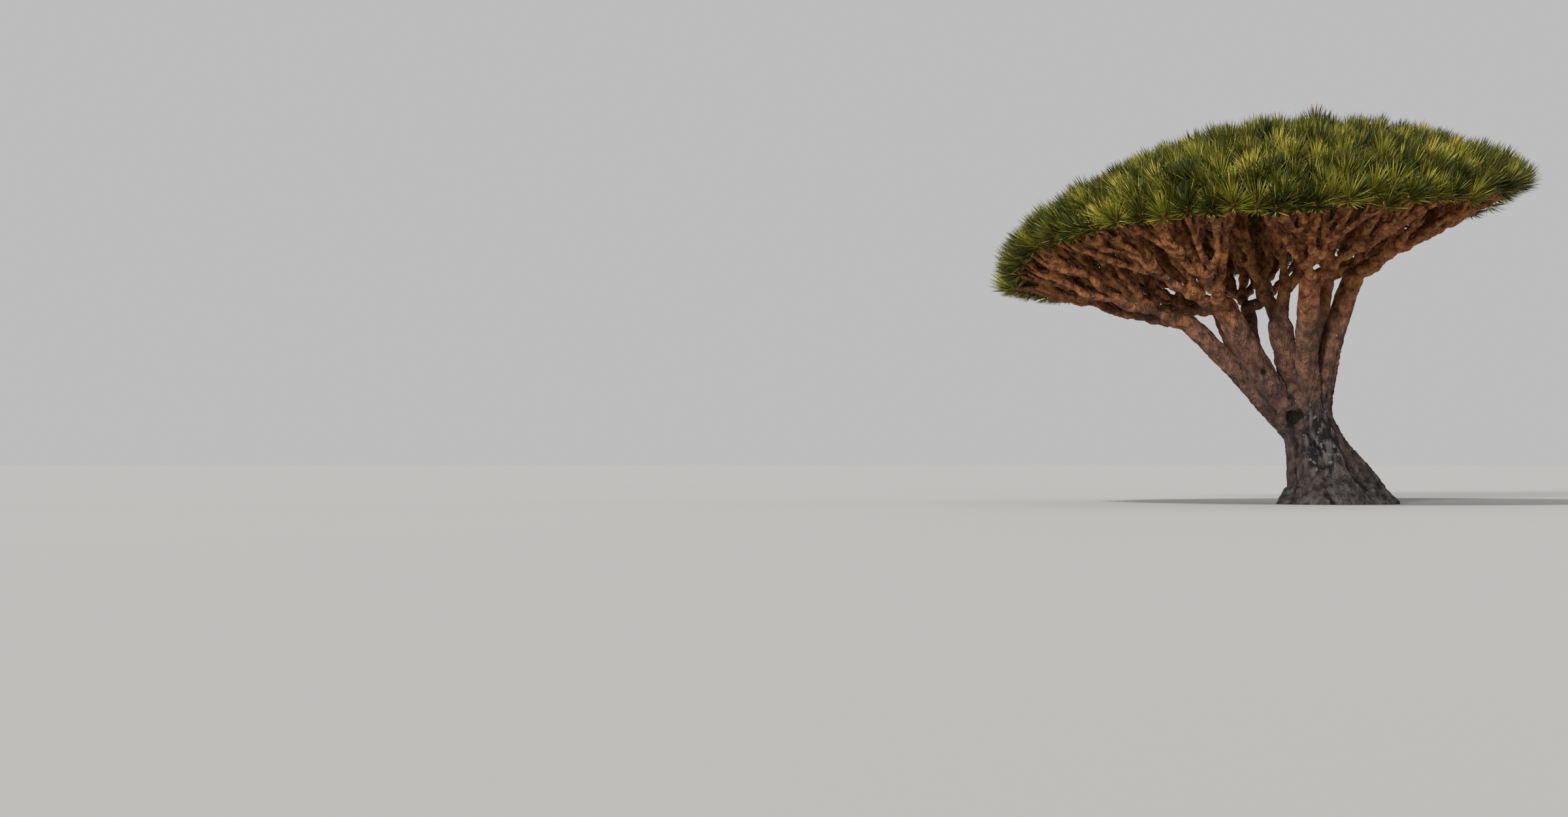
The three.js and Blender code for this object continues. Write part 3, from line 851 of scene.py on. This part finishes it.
# The leaves' seven tints, each from its darker to its lighter streaks.
TINTS = {
    "deep": ("#202405", "#343a0c"),
    "middle": ("#393a08", "#525310"),
    "fresh": ("#676317", "#87802c"),
    "bluish": ("#2c330f", "#454d20"),
    "yellow": ("#90832b", "#b0a24a"),
    "dry": ("#74592f", "#917443"),
    "reddish": ("#573623", "#774d32"),
}
# Each rosette draws its own tint by these rising limits. That tint then gains weight over the mix.
OWN_TINTS = {"deep": 0.24, "middle": 0.6, "bluish": 0.68, "fresh": 0.95, "yellow": 1}
OWN_SHARE = 1.5
LEAF_MIX = {
    "deep": 0.14, "middle": 0.18, "fresh": 0.16, "bluish": 0.04,
    "yellow": 0.07, "dry": 0.02, "reddish": 0.01,
}
# The part of a rosette's leaves that are old, the weight that yellow gains among them, and where in the
# disk the rosettes near the rim turn yellower still.
OLD_LEAVES = 0.35
OLD_YELLOW = 0.25
YELLOW_RIM = (0.75, 0.95)
# The weight that reddish gains in the rosette above the rest, and at the right end of the crown.
REDDISH_TUFT = 1.2
REDDISH_RIGHT = 0.05
RIGHT_END = (0.55, 0.9)


def leaf_material(tint):
    """A leathery sword leaf with a thin wax bloom: smooth, with a soft shine and faint streaks."""
    material, shader, place = new_material(f"waxy leaf, {tint}")
    dark, light = (linear(color) for color in TINTS[tint])
    streaks = between(material, patches(material, place, 60), 0.35, 0.65)
    material.node_tree.links.new(blend(material, streaks, dark, light), shader.inputs["Base Color"])
    shader.inputs["Roughness"].default_value = 0.5
    shader.inputs["Specular IOR Level"].default_value = 0.22
    return material


# Leaves. A leaf is widest this part of the way up.
WIDEST = 0.36
# How far the rosettes turn upright from the way out of the crown, how uneven that is, and how far they
# are set back at most.
UPRIGHT = 0.35
UNEVEN_AXIS = 0.1
SET_BACK = 0.09
# A fixed way from which each rosette's way across is found, and a nudge in case it is the rosette's own.
ASKEW = [0.31, 0.17, 0.93]
NUDGE = 1e-3
# How a rosette's leaves are laid out. Their rank goes from 0 for the innermost to 1 for the outermost.
LEAF_TURN = math.radians(137.5)
UNEVEN_TURN = 0.15
INNER_LEAN = math.radians(4)
LEAN_SHAPE = 0.8
UNEVEN_LEAN = math.radians(4)
DROOP = 0.12
# The roots stand this far from the twig's middle. The first is past its tip, the last lower down.
ROOT_RADIUS = 0.02
FIRST_ROOT = 0.03
ROOT_STRETCH = 0.1
# Lengths as parts of a full leaf: innermost, how much shorter outermost, the range of single leaves,
# and the range of whole rosettes.
INNER_LENGTH = 1.06
OUTER_SHORTER = 0.16
LEAF_RANGE = (0.86, 1.06)
ROSETTE_RANGE = (0.92, 1.06)
# How much shorter a leaf is that points straight down.
HANGING_SHORTER = 0.85
# A leaf's tip is bent aside by up to BEND of its length, times its rank plus INNER_BEND.
BEND = 0.06
INNER_BEND = 0.3


def leaf_pattern():
    """Corners and faces of one leaf, 1 long, 1 wide and 1 thick: a three-sided blade with a keel along
    its back, widest below its middle and pointed at both ends."""
    blade = bmesh.new()
    bmesh.ops.create_cone(blade, cap_ends=True, segments=3, radius1=0.5, radius2=0, depth=1 - WIDEST)
    bmesh.ops.translate(blade, verts=blade.verts, vec=(0, 0, (1 + WIDEST) / 2))
    base = min(blade.faces, key=lambda face: face.calc_center_median().z)
    root = bmesh.ops.poke(blade, faces=[base])["verts"][0]
    root.co.z = 0
    corners = np.array([vertex.co for vertex in blade.verts])
    faces = np.array([[vertex.index for vertex in face.verts] for face in blade.faces])
    blade.free()
    wide, thick = np.ptp(corners[:, 0]), np.ptp(corners[:, 1])
    return corners / [wide, thick, 1], faces


def rosette_leaves(leaves, twig_end, axis, random):
    """Roots, three directions and sizes of one rosette's leaves, as arrays with a row for each leaf."""
    count = leaves.count
    rank = (np.arange(count) + 0.5) / count
    lean = INNER_LEAN + (leaves.spread - INNER_LEAN) * rank**LEAN_SHAPE
    lean += random.normal(0, UNEVEN_LEAN, count)
    turn = np.arange(count) * LEAF_TURN + random.normal(0, UNEVEN_TURN, count)
    across = unit(np.cross(axis, ASKEW) + NUDGE)
    other = np.cross(axis, across)
    radial = np.outer(np.cos(turn), across) + np.outer(np.sin(turn), other)
    ways = np.cos(lean)[:, None] * axis + np.sin(lean)[:, None] * radial
    ways[:, 2] -= DROOP * rank * random.random(count)
    ways /= np.linalg.norm(ways, axis=1)[:, None]
    sides = np.cross(ways, radial - (radial * ways).sum(1)[:, None] * ways + 1e-6)
    sides /= np.linalg.norm(sides, axis=1)[:, None]
    faces = np.cross(sides, ways)
    roots = twig_end + np.outer(FIRST_ROOT - ROOT_STRETCH * rank, axis) + ROOT_RADIUS * radial
    lengths = leaves.length * (INNER_LENGTH - OUTER_SHORTER * rank) * random.uniform(*LEAF_RANGE, count)
    lengths *= random.uniform(*ROSETTE_RANGE)
    lengths *= 1 - HANGING_SHORTER * np.clip(-ways[:, 2], 0, 1)
    bends = -random.uniform(0, BEND, count) * (INNER_BEND + rank)
    return roots, ways, sides, faces, lengths, bends


def rosette_tints(twig, is_tuft, names, count, random):
    """The tint of each leaf of a rosette, by number. Most of them share the rosette's own tint, and
    the outer ones, which are the oldest, turn yellow more often."""
    away = math.hypot(*twig.middle)
    drawn = chance(twig.number, DRAW["tint"])
    weights = dict(LEAF_MIX)
    own = next(name for name, limit in OWN_TINTS.items() if drawn < limit)
    weights[own] += OWN_SHARE
    weights["reddish"] += REDDISH_TUFT * is_tuft + REDDISH_RIGHT * ease(twig.middle[0], *RIGHT_END)
    inner = np.array([weights[name] for name in names])
    outer = inner + OLD_YELLOW * (1 + ease(away, *YELLOW_RIM)) * (np.array(names) == "yellow")
    old = round(OLD_LEAVES * count)
    parts = ((inner, count - old), (outer, old))
    return np.concatenate([random.choice(len(names), size, p=each / each.sum()) for each, size in parts])


def leaf_mesh(name, crown, leaves, twigs, tuft, pattern, random):
    """All the leaves of some twigs as one mesh of closed blades."""
    corners, faces = pattern
    along, wide, thick = corners[:, 2], corners[:, 0], corners[:, 1]
    names = list(TINTS)
    all_corners = []
    all_tints = []
    for twig in twigs:
        outward = unit(crown.point(twig.middle, 0) - twig.end)
        axis = unit(outward + [0, 0, UPRIGHT])
        axis = unit(axis + random.normal(0, UNEVEN_AXIS, 3))
        end = bent(twig.end) + (TUFT_RISE if twig is tuft else -SET_BACK * random.random()) * axis
        roots, ways, sides, fronts, lengths, bends = rosette_leaves(leaves, end, axis, random)
        place = roots[:, None] + ways[:, None] * (lengths[:, None] * along)[..., None]
        place += sides[:, None] * (leaves.width * wide)[:, None]
        place += fronts[:, None] * (leaves.thickness * thick)[:, None]
        place += fronts[:, None] * ((bends * lengths)[:, None] * along**2)[..., None]
        all_corners.append(place.reshape(-1, 3))
        all_tints.append(rosette_tints(twig, twig is tuft, names, leaves.count, random))
    tints = np.concatenate(all_tints)
    numbered = faces[None] + len(corners) * np.arange(len(tints))[:, None, None]
    mesh = bpy.data.meshes.new(name)
    mesh.from_pydata(np.concatenate(all_corners), [], numbered.reshape(-1, 3).tolist())
    for tint in names:
        mesh.materials.append(bpy.data.materials[f"waxy leaf, {tint}"])
    mesh.polygons.foreach_set("material_index", np.repeat(tints, len(faces)))
    mesh.update()
    return mesh


# The studio's two lights and its even sky.
LIGHTS = {
    "key": {"place": (-14, -20, 30), "strength": 2.7, "softness": 8},
    "fill": {"place": (-10, -28, 10), "strength": 2.9, "softness": 12},
}
SKY_COLOR = (0.98, 0.975, 0.98, 1)
SKY_STRENGTH = 0.52


# Operators, one for each piece or group of like pieces.


def place_piece(name, mesh, slot, *nodes):
    """Adds a piece that rides on the tree's one body and stands for some of the frame's nodes."""
    piece = bpy.data.objects.new(name, mesh)
    bpy.context.scene.collection.objects.link(piece)
    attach(piece, "root")
    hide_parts(*nodes)
    return piece


class TREE_OT_trunk(bpy.types.Operator):
    """Grow the trunk with its root lobes, grooves and knots"""

    bl_idname = "tree.trunk"
    bl_label = "Trunk"

    def execute(self, context):
        wood = context.scene.tree_wood
        stumps = [self.stump(bough) for bough in BOUGHS.values()]
        meshes = [self.barrel(wood), tubes("stumps", stumps)]
        skin = fused("trunk_bark", meshes, wood.trunk_grain, smoothing=3)
        carve(skin, trunk_relief)
        self.cut_flat(skin)
        skin.materials.append(bark_material("weathered bark with lichen", fleck_limit=0.73))
        place_piece("trunk_bark", skin, "trunk_bark", "trunk")
        return {"FINISHED"}

    def stump(self, bough):
        """The lower part of a bough, which sinks below the bough's own bark at its end."""
        low, high = (bough["stump"] + past for past in STUMP_SINKS)
        line = []
        for share, place, radius in bough_line(bough, 0, bough["stump"] + STUMP_PAST):
            line.append((place, radius - DIVE * ease(share, low, high)))
        return round_ends(line)

    def barrel(self, wood):
        """The trunk without its boughs: an upright cylinder, carried along the leaning axis."""
        tube = bmesh.new()
        bmesh.ops.create_cone(tube, cap_ends=True, segments=96, radius1=1, radius2=1, depth=1)
        places = through([(x, 0, z) for x, z in TRUNK_AXIS], 8)
        rings = len(places) - 1
        for ring in range(1, rings):
            geometry = [*tube.verts, *tube.edges, *tube.faces]
            height = ring / rings - 0.5
            bmesh.ops.bisect_plane(tube, geom=geometry, plane_co=(0, 0, height), plane_no=(0, 0, 1))
        for vertex in tube.verts:
            ring = round((vertex.co.z + 0.5) * rings)
            low, high = places[max(0, ring - 1)], places[min(rings, ring + 1)]
            lean = Vector(high - low).normalized()
            side = lean.cross((0, 1, 0)) * -vertex.co.x
            way = side + Vector((0, vertex.co.y, 0))
            radius = self.radius(wood, places[ring][2], way)
            vertex.co = Vector(places[ring]) + way * radius
        mesh = bpy.data.meshes.new("barrel")
        bmesh.ops.recalc_face_normals(tube, faces=tube.faces)
        tube.to_mesh(mesh)
        tube.free()
        return mesh

    def radius(self, wood, axis_height, way):
        """The barrel's radius, its flare and its root lobes in one direction."""
        above = max(0, axis_height + wood.barrel * way.z)
        bearing = math.atan2(way.y, way.x)
        flare = wood.flare * math.exp(-((above / FLARE_HEIGHT) ** FLARE_SHAPE))
        lobes = 0
        for root_bearing, reach, spread in ROOTS:
            turn = math.cos(bearing - math.radians(root_bearing))
            lobes += reach * math.exp((turn - 1) / spread**2)
        rise = above / TRUNK_AXIS[-1][1]
        barrel = wood.barrel + (wood.head - wood.barrel) * rise
        closing = math.sqrt(max(0.01, 1 - ease(above, *CLOSING) ** 2))
        return barrel * closing + flare + lobes * math.exp(-above / ROOT_HEIGHT)

    def cut_flat(self, skin):
        """Cuts the trunk level at the ground and closes the cut."""
        trunk = bmesh.new()
        trunk.from_mesh(skin)
        geometry = [*trunk.verts, *trunk.edges, *trunk.faces]
        cut = bmesh.ops.bisect_plane(
            trunk, geom=geometry, plane_co=(0, 0, 0), plane_no=(0, 0, 1), clear_inner=True
        )
        edges = [part for part in cut["geom_cut"] if isinstance(part, bmesh.types.BMEdge)]
        bmesh.ops.holes_fill(trunk, edges=edges)
        trunk.to_mesh(skin)
        trunk.free()


class TREE_OT_boughs(bpy.types.Operator):
    """Grow the eight boughs and the two branches of each"""

    bl_idname = "tree.boughs"
    bl_label = "Boughs"

    def execute(self, context):
        wood = context.scene.tree_wood
        crown = Crown(context.scene.tree_crown)
        lines = []
        nodes = []
        for name, bough in BOUGHS.items():
            lines.append(self.free_part(bough))
            lines += [self.branch_line(wood, branch) for branch in crown.branches(name)]
            nodes += [f"bough_{name}", f"branch_{name}_1", f"branch_{name}_2"]
        skin = fused("bough_bark", [tubes("boughs", lines)], wood.bough_grain, smoothing=4)
        carve(skin, bough_relief)
        skin.materials.append(bark_material("smooth reddish bark", fleck_limit=0.72))
        place_piece("bough_bark", skin, "bough_bark", *nodes)
        return {"FINISHED"}

    def free_part(self, bough):
        """A bough from inside its stump to its first fork."""
        low, high = (bough["stump"] + past for past in BOUGH_RISES)
        line = []
        for share, place, radius in bough_line(bough, bough["stump"] - BOUGH_BEFORE, 1):
            line.append((place, radius - DIVE * (1 - ease(share, low, high))))
        return round_ends(line)

    def branch_line(self, wood, branch):
        """A branch, which sinks below its twigs' bark at its end."""
        steps = 10
        straight = unit(branch.end - branch.start)
        onward = max(branch.children, key=lambda child: unit(child.end - child.start) @ straight)
        places = through([branch.start, branch.end, onward.end], steps)[: steps + 1]
        foot, tip = radius_for(wood, branch.left + BRANCH_FOOT), radius_for(wood, branch.left)
        line = []
        for k, place in enumerate(places):
            share = k / steps
            line.append((place, foot + (tip - foot) * share - DIVE * ease(share, *BRANCH_SINKS)))
        return round_ends(line)


class TREE_OT_twigs(bpy.types.Operator):
    """Grow the forking twigs of every bough, down to one for each rosette"""

    bl_idname = "tree.twigs"
    bl_label = "Twigs"

    def execute(self, context):
        wood = context.scene.tree_wood
        crown = Crown(context.scene.tree_crown)
        bark = bark_material("knobbly reddish bark", fleck_limit=0.68)
        for name in BOUGHS:
            lines = []
            for branch in crown.branches(name):
                foot = radius_for(wood, branch.left + BRANCH_FOOT)
                stem, *asides = runs_from(wood, branch, [branch.start], [foot])
                lines += [self.run_line(*stem, True), *[self.run_line(*run, False) for run in asides]]
            skin = fused(f"twigs_{name}", [tubes("twigs", lines)], wood.twig_grain, smoothing=1)
            carve(skin, twig_relief)
            skin.materials.append(bark)
            place_piece(f"twigs_{name}", skin, "bough_bark", f"foliage_{name}_1", f"foliage_{name}_2")
        return {"FINISHED"}

    def run_line(self, spots, radii, is_stem):
        """A run of limbs, a little thinner between its forks. A stem starts sunk in its branch."""
        steps = 8
        line = []
        for k, place in enumerate(through(spots, steps)):
            stretch = min(k // steps, len(radii) - 2)
            share = k / steps - stretch
            radius = radii[stretch] + (radii[stretch + 1] - radii[stretch]) * share
            waist = WAIST * math.sin(math.pi * share)
            radius *= FORK_SWELL - waist + bumps(UNEVEN_TWIG, Vector(place))
            free = 1
            if is_stem and stretch == 0:
                free = ease(share, *STEM_RISES)
                radius -= DIVE * (1 - free)
            line.append((bent(place, free), radius))
        return round_ends(line)


class TREE_OT_leaves(bpy.types.Operator):
    """Set a rosette of stiff sword leaves on every last twig"""

    bl_idname = "tree.leaves"
    bl_label = "Leaves"

    def execute(self, context):
        leaves = context.scene.tree_leaves
        crown = Crown(context.scene.tree_crown)
        random = np.random.RandomState(leaves.seed)
        pattern = leaf_pattern()
        for tint in TINTS:
            leaf_material(tint)
        twigs = {}
        for name in BOUGHS:
            twigs[name] = [twig for branch in crown.branches(name) for twig in last_twigs(branch)]
        every = [twig for bough_twigs in twigs.values() for twig in bough_twigs]
        tuft = min(every, key=lambda twig: math.dist(twig.middle, TUFT_SPOT))
        for name in BOUGHS:
            mesh = leaf_mesh(f"leaves_{name}", crown, leaves, twigs[name], tuft, pattern, random)
            place_piece(f"leaves_{name}", mesh, "foliage", f"foliage_{name}_1", f"foliage_{name}_2")
        return {"FINISHED"}


class TREE_OT_stage(bpy.types.Operator):
    """Set up the pale floor, the soft studio light and the camera"""

    bl_idname = "tree.stage"
    bl_label = "Stage"

    def execute(self, context):
        stage = context.scene.tree_stage
        self.add_floor(stage)
        self.add_camera(context.scene, stage)
        for name, light in LIGHTS.items():
            self.add_light(name, **light)
        world = bpy.data.worlds.new("pale studio")
        world.use_nodes = True
        background = world.node_tree.nodes["Background"]
        background.inputs["Color"].default_value = SKY_COLOR
        background.inputs["Strength"].default_value = SKY_STRENGTH
        context.scene.world = world
        context.scene.view_settings.view_transform = "Standard"
        return {"FINISHED"}

    def add_floor(self, stage):
        """A wide, level, pale floor."""
        disc = bmesh.new()
        bmesh.ops.create_circle(disc, cap_ends=True, segments=96, radius=stage.floor_radius)
        mesh = bpy.data.meshes.new("floor")
        disc.to_mesh(mesh)
        disc.free()
        material, shader, place = new_material("matt painted floor")
        tone = patches(material, place, 9000)
        color = tuple(stage.floor_color)
        lighter = tuple(1.04 * part for part in color)
        mottled = blend(material, tone, (*color, 1), (*lighter, 1))
        material.node_tree.links.new(mottled, shader.inputs["Base Color"])
        shader.inputs["Roughness"].default_value = 0.9
        mesh.materials.append(material)
        floor = bpy.data.objects.new("floor", mesh)
        bpy.context.scene.collection.objects.link(floor)

    def add_camera(self, scene, stage):
        """The camera at the photograph's place, looking left of the tree and slightly up."""
        data = bpy.data.cameras.new("camera")
        data.sensor_width = 36
        data.lens = stage.lens
        data.clip_end = 1000
        camera = bpy.data.objects.new("camera", data)
        camera.location = stage.eye
        camera.rotation_euler = (math.pi / 2 + stage.pitch, 0, stage.yaw)
        scene.collection.objects.link(camera)
        scene.camera = camera

    def add_light(self, name, place, strength, softness):
        """A far, even light that comes from this way, as wide in the sky as its softness in degrees."""
        data = bpy.data.lights.new(name, "SUN")
        data.energy = strength
        data.angle = math.radians(softness)
        lamp = bpy.data.objects.new(name, data)
        lamp.location = place
        lamp.rotation_euler = (-Vector(place)).to_track_quat("-Z", "Y").to_euler()
        bpy.context.scene.collection.objects.link(lamp)


class TREE_PT_panel(bpy.types.Panel):
    """Lists the tree's settings and the steps that grow it"""

    bl_label = "Dragon Blood Tree"
    bl_idname = "TREE_PT_panel"
    bl_space_type = "VIEW_3D"
    bl_region_type = "UI"
    bl_category = "Tree"

    def draw(self, context):
        for settings in SETTINGS:
            group = getattr(context.scene, settings)
            for name in group.__annotations__:
                self.layout.prop(group, name)
        for operator in OPERATORS:
            self.layout.operator(operator.bl_idname)


SETTINGS = {
    "tree_crown": CrownSettings,
    "tree_wood": WoodSettings,
    "tree_leaves": LeafSettings,
    "tree_stage": StageSettings,
}
OPERATORS = [TREE_OT_trunk, TREE_OT_boughs, TREE_OT_twigs, TREE_OT_leaves, TREE_OT_stage]


def register():
    for name, group in SETTINGS.items():
        bpy.utils.register_class(group)
        setattr(bpy.types.Scene, name, bpy.props.PointerProperty(type=group))
    for cls in [*OPERATORS, TREE_PT_panel]:
        bpy.utils.register_class(cls)


def unregister():
    for cls in [TREE_PT_panel, *reversed(OPERATORS)]:
        bpy.utils.unregister_class(cls)
    for name, group in SETTINGS.items():
        delattr(bpy.types.Scene, name)
        bpy.utils.unregister_class(group)


def main():
    register()
    bpy.ops.tree.trunk()
    bpy.ops.tree.boughs()
    bpy.ops.tree.twigs()
    bpy.ops.tree.leaves()
    bpy.ops.tree.stage()


if __name__ == "__main__":
    main()
